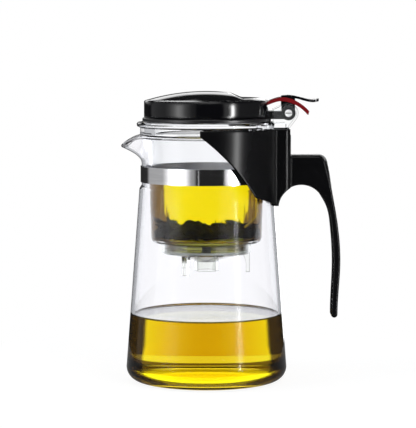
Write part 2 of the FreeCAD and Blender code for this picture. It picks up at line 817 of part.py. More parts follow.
def shelf_cut(sink):
    """Wedge that takes the dome down to a flat shelf at the back, over the hinge."""
    z = skirt_top_z + shelf_sink - sink
    slope = dome_height * 0.55
    edges = polyline(at(shelf_slope_x - 8 * slope / dome_height, dome_top_z + past), at(shelf_slope_x, z + slope),
                     at(shelf_x, z), at(far, z), at(far, dome_top_z + past),
                     at(shelf_slope_x - 8 * slope / dome_height, dome_top_z + past))
    return across(edges, -far, far)


def lid_notch():
    """Opening in the back of the lid for the lever's arm."""
    half = arm_half_width + notch_gap
    return block(liner_notch_x, far, -half, half, 0, pivot_z + notch_rise)


def lid_cover():
    outside = dome(cover_radius, skirt_top_z, dome_height).cut(shelf_cut(0))
    outside = round_edges(outside, cover_edge, lambda box: box.ZMin > skirt_top_z - 0.2 and box.XLength > cover_radius)
    inner = dome(cover_radius - cover_wall, skirt_top_z - cover_wall, dome_height).cut(shelf_cut(cover_wall))
    cover = outside.cut(inner)
    for x, y in screw_places():
        boss = upright(boss_radius, x, y, cover_bottom_z, dome_top_z).common(outside)
        cover = cover.fuse(boss).cut(upright(screw_radius, x, y, 0, cover_bottom_z + screw_length))
    for lug in lid_lugs(fit_gap):
        cover = cover.cut(lug)
    return cover.cut(lid_notch()).cut(lid_tab_blank()).removeSplitter()


def screw_places():
    return [(screw_x, -screw_y), (screw_x, screw_y)]


def liner_plate():
    plate = upright(liner_radius, 0, 0, liner_bottom_z, cover_bottom_z)
    return plate.makeFillet(0.5, [e for e in plate.Edges if e.BoundBox.ZLength < 0.1])


def lid_lugs(grow=0.0):
    """Two arms from the back of the liner to the hinge pin, or the slots that they pass through."""
    low = pivot_z - lug_drop
    lugs = []
    for side in (-1, 1):
        y0, y1 = sorted((side * (lug_inner - grow), side * (lug_outer + grow)))
        arm = block(cover_radius - lug_root - grow, pivot_x, y0, y1, liner_bottom_z, pivot_z + lug_lift + grow)
        arm = arm.cut(block(liner_radius, far, -far, far, 0, low))
        lugs.append(arm.fuse(crosswise(hub_radius, pivot_x, pivot_z, y0, y1)))
    return lugs


def lid_liner():
    liner = liner_plate()
    for lug in lid_lugs():
        liner = liner.fuse(lug)
    liner = liner.cut(lid_notch())
    liner = liner.cut(crosswise(pin_radius + pin_gap, pivot_x, pivot_z, -far, far))
    for x, y in screw_places():
        liner = liner.cut(upright(screw_radius + thread_gap, x, y, 0, far))
        liner = liner.cut(upright(screw_head_radius + thread_gap, x, y, 0, liner_bottom_z + screw_head_height))
    return liner.removeSplitter()


def lid_screws():
    screws = []
    for x, y in screw_places():
        shank = upright(screw_radius, x, y, liner_bottom_z + screw_head_height, cover_bottom_z + screw_length - 0.5)
        head = upright(screw_head_radius, x, y, liner_bottom_z, liner_bottom_z + screw_head_height)
        cross = block(x - 0.3, x + 0.3, y - 1.3, y + 1.3, 0, liner_bottom_z + 0.5)
        screws.append(shank.fuse(head).cut(cross).removeSplitter())
    return Part.makeCompound(screws)


def lid_tab_blank():
    """Arched strip from the back of the cover over the hinge, sloping down to a thumb tab."""
    root_x = cover_radius - cover_wall - tab_root
    crest = at(pivot_x - 4.5, pivot_z + tab_rise)
    root = at(root_x, pivot_z + tab_front_rise - 0.5)
    tail = at(pivot_x + tab_back_reach, pivot_z + tab_back_rise)
    bend = at(pivot_x + 5.4, pivot_z + 6.4)
    upper = curve(root, at(cover_radius, pivot_z + tab_front_rise + 0.6), crest, bend, tail)
    down = Vector(-0.25 * tab_thickness, 0, -tab_thickness)
    points = [p + down for p in (root, at(cover_radius, pivot_z + tab_front_rise + 0.6), crest, bend, tail)]
    edges = [upper, line(tail, points[-1]), curve(*points), line(points[0], root)]
    return across(edges, -lug_outer, lug_outer)


def lid_tab():
    tab = lid_tab_blank()
    half = lever_half_width + tab_window_gap
    window = block(cover_radius + 0.8, pivot_x + tab_window_back, -half, half, 0, far)
    return tab.cut(window)


def export(name, shape):
    solids = shape.Solids
    volume = sum(solid.Volume for solid in solids)
    print(f"{name}: {len(solids)} solids, {volume:.1f} mm3, valid {shape.isValid()}")
    shape = solids[0] if len(solids) == 1 else Part.makeCompound(solids)
    shape.exportStep(os.path.join("parts", name + ".step"))


def main():
    os.makedirs("parts", exist_ok=True)
    pieces = {
        "glass_pot": glass_pot(),
        "handle": handle(),
        "steel_strap": steel_strap(),
        "strap_screw": strap_screw(),
        "strap_nut": strap_nut(),
        "infuser_cup": infuser_cup(),
        "rod_guide": rod_guide(),
        "hinge_pin": hinge_pin(),
        "pin_cap": pin_cap(),
        "filter_screen": filter_screen(),
        "filter_base": filter_base(),
        "base_seal": base_seal(),
        "drain_lever": drain_lever(),
        "pull_rod": pull_rod(),
        "rod_head": rod_head(),
        "spring_collar": spring_collar(),
        "valve_plug": valve_plug(),
        "return_spring": return_spring(),
        "lid_cover": lid_cover(),
        "lid_liner": lid_liner(),
        "lid_screws": lid_screws(),
        "lid_tab": lid_tab(),
    }
    for name, shape in pieces.items():
        export(name, shape)


main()
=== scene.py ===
import bpy
import bmesh
import math
import random
from mathutils import Matrix, Vector


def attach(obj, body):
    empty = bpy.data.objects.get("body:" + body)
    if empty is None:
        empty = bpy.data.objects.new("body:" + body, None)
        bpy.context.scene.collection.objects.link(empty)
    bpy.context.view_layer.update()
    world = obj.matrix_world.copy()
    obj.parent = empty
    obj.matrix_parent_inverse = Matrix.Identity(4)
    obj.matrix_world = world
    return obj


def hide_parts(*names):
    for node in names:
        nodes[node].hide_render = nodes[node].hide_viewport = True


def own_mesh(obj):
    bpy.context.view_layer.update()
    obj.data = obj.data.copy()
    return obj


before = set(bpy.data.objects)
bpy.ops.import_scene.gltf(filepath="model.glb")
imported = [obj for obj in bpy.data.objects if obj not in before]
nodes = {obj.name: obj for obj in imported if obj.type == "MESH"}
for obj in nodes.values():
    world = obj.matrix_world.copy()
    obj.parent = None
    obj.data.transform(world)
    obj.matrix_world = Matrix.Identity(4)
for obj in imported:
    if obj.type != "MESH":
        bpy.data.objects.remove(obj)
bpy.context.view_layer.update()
scene = bpy.context.scene

# The jug: one piece of blown heat-proof glass, a cone that narrows to a straight neck.
# Its rim is fire-polished to a bead and pulled out into a drooping beak for pouring.
# Seen edge-on the clear glass is painted grey, a painted shade, and its wall is a little wavy.
jug_height = 0.143
neck_radius = 0.0375
shoulder = (0.0388, 0.1115)
neck_bend_in, neck_bend_up = 0.0004, 0.0008
neck_bend_top = 0.0022
foot_radius = 0.04659
foot_top = 0.0186
foot_underside = -0.9
corner = 0.008
wall = 0.0022
floor = 0.0032
spout_reach = 0.0118
spout_drop = 0.0054
spout_root = 0.0165
spout_turn = math.radians(25)
droop_curve = 2.6
tip_curve = 1.35
flare_curve = 1.9
rim_radius = 0.0013
bead_bulge = 0.0008
bead_start = math.radians(-55)
bead_clear_low, bead_clear_high = -0.2, 0.4
tea_level = 0.0394
glass_ior = 1.47
tea_ior = 1.333
glass_ripple = 0.02
glass_mirror = 0.12
smooth_limit = math.radians(38)
jug_turns = 128
floor_shares = (0.0, 0.3, 0.6)
corner_steps = 12
wet_steps, dry_steps = 6, 12
neck_steps = 4
lip_steps = 14
bead_steps = 9
hair = 1e-5


def adder(tree):
    """Clears a node tree and gives a function that adds a node and sets or links its inputs."""
    tree.nodes.clear()

    def add(kind, inputs=None, **settings):
        node = tree.nodes.new("ShaderNode" + kind)
        for key, value in settings.items():
            setattr(node, key, value)
        for key, value in (inputs or {}).items():
            if isinstance(value, bpy.types.NodeSocket):
                tree.links.new(value, node.inputs[key])
            else:
                node.inputs[key].default_value = value
        return node

    return add


def shader(name):
    """A node material, its Principled shader, and functions that add nodes and join them to the shader."""
    material = bpy.data.materials.new(name)
    material.use_nodes = True
    tree = material.node_tree
    add = adder(tree)
    principled = add("BsdfPrincipled")
    add("OutputMaterial", {"Surface": principled.outputs["BSDF"]})

    def join(socket, target):
        tree.links.new(socket, principled.inputs[target])

    return material, principled, add, join


def ramp_stops(node, stops):
    """Sets the stops of a colour ramp from pairs of place and colour."""
    ramp = node.color_ramp
    while len(ramp.elements) < len(stops):
        ramp.elements.new(0.5)
    for element, (place, colour) in zip(ramp.elements, stops):
        element.position = place
        element.color = (*colour, 1)


def clear_finish(name, stops, ior, ripple, mirror=0.35, rough=0.0, edge_shade_width=0.0):
    """Clear glass or plastic with its colour painted darker where it is seen edge-on, and when asked a
    painted dark line along its edges, both painted shade, and a slight ripple in its surface.
    """
    material, principled, add, join = shader(name)
    principled.inputs["Transmission Weight"].default_value = 1.0
    principled.inputs["IOR"].default_value = ior
    principled.inputs["Roughness"].default_value = rough
    principled.inputs["Specular Tint"].default_value = (mirror, mirror, mirror, 1)
    # Painted shade: the colour grows darker the more edge-on the surface is seen.
    edge = add("LayerWeight", {"Blend": 0.5})
    tint = add("ValToRGB", {"Fac": edge.outputs["Facing"]})
    ramp_stops(tint, stops)
    colour = tint.outputs["Color"]
    # Painted shade: a thin dark line along the edges, where the rounded normal turns away from the true one.
    if edge_shade_width:
        rounded = add("Bevel", {"Radius": edge_shade_width}, samples=6)
        flat = add("NewGeometry")
        turned = add("VectorMath", {0: rounded.outputs["Normal"], 1: flat.outputs["Normal"]},
                     operation="DOT_PRODUCT")
        shade = add("MapRange", {"Value": turned.outputs["Value"], "From Min": 0.8, "From Max": 0.98,
                                 "To Min": 0.08})
        darker = add("VectorMath", {"Vector": colour, "Scale": shade.outputs["Result"]}, operation="SCALE")
        colour = darker.outputs["Vector"]
    join(colour, "Base Color")
    place = add("TexCoord")
    wave = add("TexNoise", {"Vector": place.outputs["Object"], "Scale": 42.0, "Detail": 1.0})
    bump = add("Bump", {"Height": wave.outputs["Fac"], "Strength": ripple, "Distance": 0.001})
    join(bump.outputs["Normal"], "Normal")
    return material


def add_mesh(name, verts, faces, material, body):
    """A new smooth piece from corners and faces, which rides on a body and keeps its hard edges."""
    mesh = bpy.data.meshes.new(name)
    mesh.from_pydata(verts, [], faces)
    mesh.validate()
    mesh.update()
    piece = bpy.data.objects.new(name, mesh)
    scene.collection.objects.link(piece)
    mesh.materials.append(material)
    for polygon in mesh.polygons:
        polygon.use_smooth = True
    mesh.set_sharp_from_angle(angle=smooth_limit)
    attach(piece, body)
    return piece


def sweep_rings(rings):
    """Corners and faces of a skin over rings that all have the same number of points."""
    count = len(rings[0])
    faces = []
    for i in range(len(rings) - 1):
        low, high = i * count, (i + 1) * count
        for k in range(count):
            n = (k + 1) % count
            faces.append((low + k, low + n, high + n, high + k))
    return [v for ring in rings for v in ring], faces


def spout_share(angle):
    """How far a place on the rim belongs to the spout: 1 at the tip, 0 away from it."""
    off = abs(angle - math.pi)
    if off > spout_turn:
        return 0.0
    return 0.5 + 0.5 * math.cos(math.pi * off / spout_turn)


def jug_outline(inset):
    """Half outline of the jug from the axis up to the neck, taken in by the wall on the inside."""
    low = floor if inset else 0.0
    radius = corner - inset
    points = [(foot_radius * share, low) for share in floor_shares]
    centre = (foot_radius - corner, low + radius)
    for k in range(corner_steps + 1):
        turn = math.radians(-90 + 90 * k / corner_steps)
        points.append((centre[0] + radius * math.cos(turn), centre[1] + radius * math.sin(turn)))
    last = points[-1]
    taper, rise = shoulder[0] - inset - last[0], shoulder[1] - last[1]
    level = (tea_level - last[1]) / rise
    shares = [level * k / wet_steps for k in range(1, wet_steps + 1)]
    shares += [level + (1 - level) * k / dry_steps for k in range(1, dry_steps + 1)]
    points += [(last[0] + taper * share, last[1] + rise * share) for share in shares]
    bend = (neck_radius - inset, shoulder[1] + neck_bend_top)
    points += [(shoulder[0] - inset - neck_bend_in, shoulder[1] + neck_bend_up), bend]
    for k in range(1, neck_steps + 1):
        points.append((bend[0], bend[1] + (jug_height - spout_root - bend[1]) * k / neck_steps))
    return points


def lip_rings(inset):
    """Rings from the neck up to the rim, flaring out and drooping at the spout."""
    rings = []
    start = jug_height - spout_root
    below = rim_radius if inset else rim_radius * (1 - math.sin(bead_start))
    for step in range(1, lip_steps + 1):
        share = step / lip_steps
        ring = []
        for k in range(jug_turns):
            angle = 2 * math.pi * k / jug_turns
            pull = spout_share(angle)
            top = jug_height - below - spout_drop * pull ** droop_curve
            flare = (spout_reach - bead_bulge) * pull ** tip_curve * share ** flare_curve
            radius = neck_radius - inset + flare
            ring.append((radius * math.cos(angle), radius * math.sin(angle), start + (top - start) * share))
        rings.append(ring)
    return rings


def circle(radius, z):
    """A level ring round the jug's axis."""
    angles = [2 * math.pi * k / jug_turns for k in range(jug_turns)]
    return [(radius * math.cos(angle), radius * math.sin(angle), z) for angle in angles]


def rim_bead(outer, inner):
    """Rounds over from the outer ring to the inner one with a fire-polished bead that stands out a little."""
    rings = []
    for step in range(bead_steps):
        turn = bead_start + (math.pi - bead_start) * step / bead_steps
        ring = []
        for k, (a, b) in enumerate(zip(outer, inner)):
            angle = 2 * math.pi * k / jug_turns
            near, far = math.hypot(*b[:2]), math.hypot(*a[:2])
            half = (far - near) / 2 + bead_bulge / 2
            radius = near + half + half * math.cos(turn)
            height = b[2] + rim_radius * math.sin(turn)
            ring.append((radius * math.cos(angle), radius * math.sin(angle), height))
        rings.append(ring)
    return rings


outside = [circle(max(r, hair), z) for r, z in jug_outline(0.0)] + lip_rings(0.0)
inside = [circle(max(r, hair), z) for r, z in jug_outline(wall)] + lip_rings(wall)
jug_rings = outside + rim_bead(outside[-1], inside[-1]) + inside[::-1]
# The grey and near-black edge-on stops of this ramp are painted shade.
blown_glass = clear_finish("blown_glass", [(0.0, (0.985, 0.985, 1.0)), (0.75, (0.965, 0.965, 0.985)),
                                           (0.95, (0.75, 0.75, 0.78)), (1.0, (0.2, 0.2, 0.22))],
                           ior=glass_ior, ripple=glass_ripple, mirror=glass_mirror)
wet_glass = clear_finish("wet_glass", [(0.0, (1.0, 1.0, 1.0)), (1.0, (0.97, 0.97, 0.97))],
                         ior=glass_ior / tea_ior, ripple=glass_ripple)
# Painted shade: the bead's faces that look up or down are painted dark grey, which draws the dark lines along
# the rim.
bead_shade_glass = clear_finish("bead_shade_glass", [(0.0, (0.3, 0.3, 0.31)), (1.0, (0.12, 0.12, 0.12))],
                         ior=1.1, ripple=0.0, mirror=0.05)
# Painted shade: seen edge-on, the foot's colour turns through tea amber to dark brown, in place of the tea
# and its shade seen through the thick glass.
foot_shade_glass = clear_finish("foot_shade_glass", [(0.0, (0.985, 0.985, 1.0)), (0.36, (0.97, 0.95, 0.9)),
                                         (0.46, (0.95, 0.8, 0.4)), (0.58, (0.6, 0.42, 0.2)),
                                         (0.83, (0.34, 0.28, 0.18)), (1.0, (0.2, 0.16, 0.1))],
                          ior=glass_ior, ripple=glass_ripple, mirror=glass_mirror)
jug = add_mesh("jug_glass", *sweep_rings(jug_rings), blown_glass, "jug")
for finish in (wet_glass, bead_shade_glass, foot_shade_glass):
    jug.data.materials.append(finish)
under_tea, on_bead_shade, on_shaded_foot = 1, 2, 3
rim_start = len(outside) * jug_turns
rim_end = rim_start + bead_steps * jug_turns
for polygon in jug.data.polygons:
    first, last = min(polygon.vertices), max(polygon.vertices)
    top = max(jug.data.vertices[v].co.z for v in polygon.vertices)
    slope = polygon.normal.z
    if first >= rim_start and top < tea_level + hair:
        polygon.material_index = under_tea
    elif first >= rim_start - jug_turns and last < rim_end and not bead_clear_low < slope < bead_clear_high:
        polygon.material_index = on_bead_shade
    elif last < rim_start and polygon.center.z < foot_top and slope > foot_underside:
        polygon.material_index = on_shaded_foot
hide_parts("glass_pot")

# The strap: a hoop of polished stainless strip round the neck, its two ends turned out behind the handle.
# One steel screw and nut inside the handle draw the ends together and clamp the handle to the glass.
# The strip's inner face, which shows through the glass, is left duller.
strip_edge = 0.5
along_strip = (0.3, 0.3, 6.0)
even_grain = (1.0, 1.0, 1.0)


def steel_finish(name, colour, rough, streak, crevice_shade=0.0):
    """Steel with a fine grain, drawn out by the streak, and with painted shade in its crevices where it is
    asked for.
    """
    material, principled, add, join = shader(name)
    principled.inputs["Metallic"].default_value = 1.0
    place = add("TexCoord")
    stretch = add("Mapping", {"Vector": place.outputs["Object"], "Scale": streak})
    grain = add("TexNoise", {"Vector": stretch.outputs["Vector"], "Scale": 90.0, "Detail": 3.0})
    tone = add("ValToRGB", {"Fac": grain.outputs["Fac"]})
    ramp_stops(tone, [(0.3, [c * 0.9 for c in colour]), (0.7, colour)])
    tint = tone.outputs["Color"]
    # Painted shade: ambient occlusion darkens the colour in narrow hollows.
    if crevice_shade:
        hollow = add("AmbientOcclusion", {"Distance": crevice_shade}, samples=8)
        shade = add("MapRange", {"Value": hollow.outputs["AO"], "From Min": 0.45, "From Max": 0.8,
                                 "To Min": 0.05})
        darker = add("VectorMath", {"Vector": tint, "Scale": shade.outputs["Result"]}, operation="SCALE")
        tint = darker.outputs["Vector"]
    join(tint, "Base Color")
    sheen = add("MapRange", {"Value": grain.outputs["Fac"], "To Min": rough * 0.7, "To Max": rough * 1.4})
    join(sheen.outputs["Result"], "Roughness")
    bump = add("Bump", {"Height": grain.outputs["Fac"], "Strength": 0.04, "Distance": 0.0002})
    join(bump.outputs["Normal"], "Normal")
    return material


def dress(material, *names):
    """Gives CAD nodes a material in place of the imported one."""
    for name in names:
        piece = nodes[name]
        piece.data.materials.clear()
        piece.data.materials.append(material)


polished_strip = steel_finish("polished_strip", (0.86, 0.86, 0.88), rough=0.08, streak=along_strip)
strip_inside = steel_finish("strip_inside", (0.78, 0.785, 0.82), rough=0.35, streak=along_strip)
plain_steel = steel_finish("plain_steel", (0.66, 0.66, 0.68), rough=0.22, streak=even_grain)
dress(polished_strip, "steel_strap")
nodes["steel_strap"].data.materials.append(strip_inside)
for polygon in nodes["steel_strap"].data.polygons:
    inward = polygon.normal.xy.dot(polygon.center.xy) < 0
    polygon.material_index = int(inward and abs(polygon.normal.z) < strip_edge)
dress(plain_steel, "strap_screw", "strap_nut")

# The handle: one black injection moulding, a saddle over the neck, a squared spine and an open grip.
# The strap clamps it on. Its skin is smooth with a faint mould texture and a soft gloss.


def moulded_finish(name, colour, rough, grain_scale, grain_depth, gleam=0.4, rounding=0.0):
    """Moulded plastic or silicone with a cloudy tone and gloss, a fine grain and slightly rounded edges."""
    material, principled, add, join = shader(name)
    principled.inputs["IOR"].default_value = 1.48
    principled.inputs["Specular IOR Level"].default_value = gleam
    place = add("TexCoord")
    cloud = add("TexNoise", {"Vector": place.outputs["Object"], "Scale": 60.0, "Detail": 4.0})
    tone = add("ValToRGB", {"Fac": cloud.outputs["Fac"]})
    ramp_stops(tone, [(0.25, [c * 0.82 for c in colour]), (0.75, [c * 1.15 for c in colour])])
    join(tone.outputs["Color"], "Base Color")
    gloss = add("MapRange", {"Value": cloud.outputs["Fac"], "To Min": rough * 0.85, "To Max": rough * 1.2})
    join(gloss.outputs["Result"], "Roughness")
    grain = add("TexNoise", {"Vector": place.outputs["Object"], "Scale": grain_scale, "Detail": 2.0})
    bump = add("Bump", {"Height": grain.outputs["Fac"], "Strength": grain_depth, "Distance": 0.0002})
    if rounding:
        bevel = add("Bevel", {"Radius": rounding}, samples=8)
        material.node_tree.links.new(bevel.outputs["Normal"], bump.inputs["Normal"])
    join(bump.outputs["Normal"], "Normal")
    return material


handle_black = moulded_finish("handle_black", (0.004, 0.004, 0.0045), rough=0.22, grain_scale=900.0,
                              grain_depth=0.02, gleam=0.13, rounding=0.0015)
dress(handle_black, "handle")

# The infuser cup: clear injection-moulded plastic with a flange that rests on the jug's rim.
# The hinge ears and the channel for the pull rod are part of the same moulding.
# Below its edge the flange steps in to a collar, and the step's underside is painted nearly black, a painted
# shade that shows as a dark line.
brew_level = 0.118
cup_limit = 0.05
cup_bore = 0.0317
cup_floor = 0.0824
socket_bore = 0.0228
channel_axis = 0.0274
channel_limit = 0.0038
flange_radius = 0.0405
flange_bore = 0.033
flange_foot = 0.1477
step_foot = 0.1468
step_underside = -0.5
collar_radius = 0.0383
collar_foot = 0.144
seat_level = 0.1432
hinge_side = 0.03
plastic_ior = 1.49
plastic_ripple = 0.015
side_least = 0.05
round_least = 0.95
touch = 1e-6
clear_plastic = clear_finish("clear_plastic", [(0.0, (0.975, 0.98, 0.98)), (0.6, (0.93, 0.94, 0.94)),
                                               (0.93, (0.82, 0.83, 0.84)), (1.0, (0.3, 0.3, 0.3))],
                             ior=1.2, ripple=plastic_ripple, edge_shade_width=0.0006)
wet_plastic = clear_finish("wet_plastic", [(0.0, (0.98, 0.985, 0.98)), (1.0, (0.9, 0.9, 0.88))],
                           ior=plastic_ior / tea_ior, ripple=plastic_ripple)
rim_plastic = clear_finish("rim_plastic", [(0.0, (0.98, 0.98, 1.0)), (0.5, (0.95, 0.95, 0.97)),
                                           (0.9, (0.75, 0.75, 0.78)), (1.0, (0.1, 0.1, 0.1))],
                           ior=1.3, ripple=plastic_ripple, rough=0.05, edge_shade_width=0.0004)
# Painted shade: the underside of the flange's step is painted nearly black.
step_shade_plastic = clear_finish("step_shade_plastic", [(0.0, (0.03, 0.03, 0.032)), (1.0, (0.02, 0.02, 0.02))],
                            ior=1.2, ripple=plastic_ripple, mirror=0.1)
collar_plastic = clear_finish("collar_plastic", [(0.0, (1.0, 1.0, 1.0)), (1.0, (0.7, 0.7, 0.72))],
                              ior=1.12, ripple=plastic_ripple, mirror=0.1)


def turned_normals(mesh):
    """Normals that are round about the cup's axis or the rod channel's, and flat on every other face."""
    normals = []
    for polygon in mesh.polygons:
        flat, spot = polygon.normal, polygon.center
        level = math.hypot(flat.x, flat.y)
        axis, sign = None, 1
        for centre, limit in ((channel_axis, channel_limit), (0.0, cup_limit)):
            arm = Vector((spot.x - centre, spot.y))
            if arm.length < limit and level > side_least:
                along = arm.normalized().dot(flat.xy) / level
                if abs(along) > round_least:
                    axis, sign = centre, math.copysign(1, along)
                    break
        for v in polygon.vertices:
            place = mesh.vertices[v].co
            arm = Vector((place.x - (axis or 0.0), place.y))
            if axis is None or arm.length < touch:
                normals.append(flat)
            else:
                arm = arm.normalized() * sign * level
                normals.append((arm.x, arm.y, flat.z))
    mesh.normals_split_custom_set(normals)


cup_mesh = nodes["infuser_cup"].data.copy()
cup_work = bmesh.new()
cup_work.from_mesh(cup_mesh)
for level in (brew_level, step_foot, flange_foot):
    whole_cup = cup_work.verts[:] + cup_work.edges[:] + cup_work.faces[:]
    bmesh.ops.bisect_plane(cup_work, geom=whole_cup, dist=touch, plane_co=(0, 0, level), plane_no=(0, 0, 1))
for vert in cup_work.verts:
    near = math.hypot(vert.co.x, vert.co.y)
    below_step = collar_foot < vert.co.z < step_foot + hair and vert.co.x < hinge_side
    if below_step and collar_radius < near < flange_radius:
        vert.co.x *= collar_radius / near
        vert.co.y *= collar_radius / near
cup_work.to_mesh(cup_mesh)
cup_work.free()
cup_mesh.materials.clear()
for finish in (clear_plastic, wet_plastic, rim_plastic, step_shade_plastic, collar_plastic):
    cup_mesh.materials.append(finish)
in_air, in_brew, on_rim, on_step_shade, on_collar = range(5)
for polygon in cup_mesh.polygons:
    polygon.use_smooth = True
    height = polygon.center.z
    near = math.hypot(polygon.center.x, polygon.center.y)
    bore = cup_bore if height > cup_floor else socket_bore
    polygon.material_index = in_brew if height < brew_level and near < bore else in_air
    if height > seat_level and flange_bore < near < flange_radius:
        if step_foot < height < flange_foot and polygon.normal.z < step_underside:
            polygon.material_index = on_step_shade
        else:
            polygon.material_index = on_rim if height > step_foot else on_collar
turned_normals(cup_mesh)
cup = bpy.data.objects.new("infuser_plastic", cup_mesh)
scene.collection.objects.link(cup)
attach(cup, "infuser")
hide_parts("infuser_cup")

# The hinge pin and its cap: turned steel, pushed through the two clear ears and the lugs between them.
# The near head has a screwdriver slot, darkened with painted shade, and the cap closes the far end.
pin_steel = steel_finish("pin_steel", (0.95, 0.95, 0.96), rough=0.6, streak=even_grain, crevice_shade=0.0012)
dress(pin_steel, "hinge_pin", "pin_cap")

# The filter screen: a disc of stainless sheet, punched all over with small holes.
# It lies on the cup's floor and keeps the leaves back.
screen_steel = steel_finish("screen_steel", (0.58, 0.58, 0.6), rough=0.3, streak=even_grain)
dress(screen_steel, "filter_screen")

# The filter base: a clear moulded cup with the drain nozzle and three feet, turned on to the collar above it.
# A pale silicone ring seals it. The faces that hold the tea lose their shine.
nozzle_bore, base_bore = 0.0055, 0.0218
base_floor = 0.07
floor_slope = 0.2
# Painted shade: the clear base's colour darkens strongly, to near black, where it is seen edge-on.
shaded_base_plastic = clear_finish("shaded_base_plastic", [(0.0, (0.93, 0.94, 0.92)), (0.5, (0.75, 0.77, 0.74)),
                                               (0.85, (0.25, 0.26, 0.25)), (1.0, (0.04, 0.04, 0.04))],
                             ior=plastic_ior, ripple=plastic_ripple, edge_shade_width=0.0006)
dress(shaded_base_plastic, "filter_base")
nodes["filter_base"].data.materials.append(wet_plastic)
for polygon in nodes["filter_base"].data.polygons:
    near = math.hypot(polygon.center.x, polygon.center.y)
    in_base = nozzle_bore < near < base_bore and polygon.center.z > base_floor
    polygon.material_index = int(in_base and polygon.normal.z > floor_slope)
pale_silicone = moulded_finish("pale_silicone", (0.78, 0.8, 0.8), rough=0.45, grain_scale=500.0,
                               grain_depth=0.05)
dress(pale_silicone, "base_seal")

# The drain works: a bent steel wire in the channel, its button, collar and return spring, and a soft plug.
# The plug is black silicone, and the guide bush at the top of the channel is natural plastic.
# The spring is given a mesh of its own; in use it shortens as the rod rises, because its upper end stays
# under the bush.
dress(plain_steel, "pull_rod", "rod_head", "spring_collar", "return_spring")
coil = nodes["return_spring"]
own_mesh(coil)
natural_plastic = moulded_finish("natural_plastic", (0.82, 0.83, 0.82), rough=0.4, grain_scale=500.0,
                                 grain_depth=0.04)
dress(natural_plastic, "rod_guide")
plug_black = moulded_finish("plug_black", (0.02, 0.02, 0.02), rough=0.5, grain_scale=400.0,
                            grain_depth=0.05)
dress(plug_black, "valve_plug")

# The drain lever: a black gloss moulding that turns on the hinge pin.
# Its thumb plate is pressed down to lift the rod and let the tea run into the jug.
gloss_black = moulded_finish("gloss_black", (0.004, 0.004, 0.005), rough=0.1, grain_scale=700.0,
                             grain_depth=0.01)
dress(gloss_black, "drain_lever")

# The lid: a high-gloss black domed cover screwed to a satin liner, which carries the hinge lugs.
# The red thumb tab is let into the back of the cover and opens the lid.
lid_gloss = moulded_finish("lid_gloss", (0.003, 0.003, 0.004), rough=0.05, grain_scale=700.0,
                           grain_depth=0.006, rounding=0.004)
dress(lid_gloss, "lid_cover")
liner_satin = moulded_finish("liner_satin", (0.014, 0.014, 0.015), rough=0.3, grain_scale=700.0,
                             grain_depth=0.03)
dress(liner_satin, "lid_liner")
dress(plain_steel, "lid_screws")
tab_red = moulded_finish("tab_red", (0.2, 0.007, 0.01), rough=0.2, grain_scale=700.0,
                         grain_depth=0.02)
dress(tab_red, "lid_tab")

# The tea: what has run into the jug, and what still stands in the infuser over the leaves.
# It is clear and yellow, deeper amber through the thick of it, and painted nearly black-brown where it is
# seen edge-on, a painted shade; a band of painted shade runs round it at the wall just under the surface.
# A film of space keeps it off the glass, and at the wall its surface climbs a little.
film = 0.00012
meniscus = ((0.0, 0.001), (0.0, 0.0), (0.0004, 0.0005), (0.0012, 0.0008), (0.0025, 0.0009))
surface_shade = (0.05, 0.05, 0.07)
meniscus_shade_face, meniscus_shade_side = (0.05, 0.035, 0.02), (0.03, 0.02, 0.01)
unbent = 1.0
full_mirror = 1.0


def lathe(outline):
    """Closed body of revolution from an outline that starts and ends on the axis."""
    return sweep_rings([circle(max(r, hair), z) for r, z in outline])


def pour(name, outline, side, floor_tint, floor_rings, corner_rings, top_rings, body):
    """A body of tea: its sides and floor carry the colour and meet the wall, its free surface bends light."""
    piece = add_mesh(name, *lathe(outline), clear_finish(name, side, unbent, 0.0), body)
    floor_stops = [(0.0, floor_tint), (1.0, floor_tint)]
    # Painted shade: the surface turns near black edge-on, and the corner blends the floor tint into the dark
    # edge-on side colour.
    surface_stops = [(0.0, side[0][1]), (0.85, surface_shade)]
    corner_stops = [(0.0, floor_tint), (0.29, floor_tint), (0.35, side[-2][1]), (1.0, side[-1][1])]
    # Painted shade: the thin band at the wall just under the surface is painted near black.
    meniscus_shade_stops = [(0.0, meniscus_shade_face), (0.5, meniscus_shade_side)]
    for finish in (clear_finish(name + "_floor", floor_stops, unbent, 0.0),
                   clear_finish(name + "_surface", surface_stops, tea_ior, 0.0, full_mirror),
                   clear_finish(name + "_corner", corner_stops, unbent, 0.0),
                   clear_finish(name + "_edge", meniscus_shade_stops, unbent, 0.0)):
        piece.data.materials.append(finish)
    on_floor, on_surface, on_corner, on_meniscus_shade = 1, 2, 3, 4
    surface_ring = len(outline) - top_rings
    for polygon in piece.data.polygons:
        first, last = min(polygon.vertices) // jug_turns, max(polygon.vertices) // jug_turns
        if last < floor_rings:
            polygon.material_index = on_floor
        elif last < corner_rings:
            polygon.material_index = on_corner
        elif first >= surface_ring:
            polygon.material_index = on_surface
        elif first == surface_ring - 1:
            polygon.material_index = on_meniscus_shade


taken_in = (shoulder[0] - foot_radius) * (tea_level - corner) / (shoulder[1] - corner)
edge = foot_radius + taken_in - wall - film
still_level = tea_level - meniscus[-1][1]
pool = [(r, z + film) for r, z in jug_outline(wall + film) if z < tea_level - meniscus[0][1]]
pool += [(edge - reach, tea_level - drop) for reach, drop in meniscus]
pool += [(edge / 2, still_level), (0.0, still_level)]
# Painted shade: past about a quarter of the way to edge-on, the side colour drops to near black brown.
pool_side = [(0.0, (0.64, 0.335, 0.002)), (0.1, (0.80, 0.50, 0.004)), (0.215, (0.88, 0.64, 0.005)),
             (0.24, (0.045, 0.024, 0.003)), (1.0, (0.03, 0.016, 0.003))]
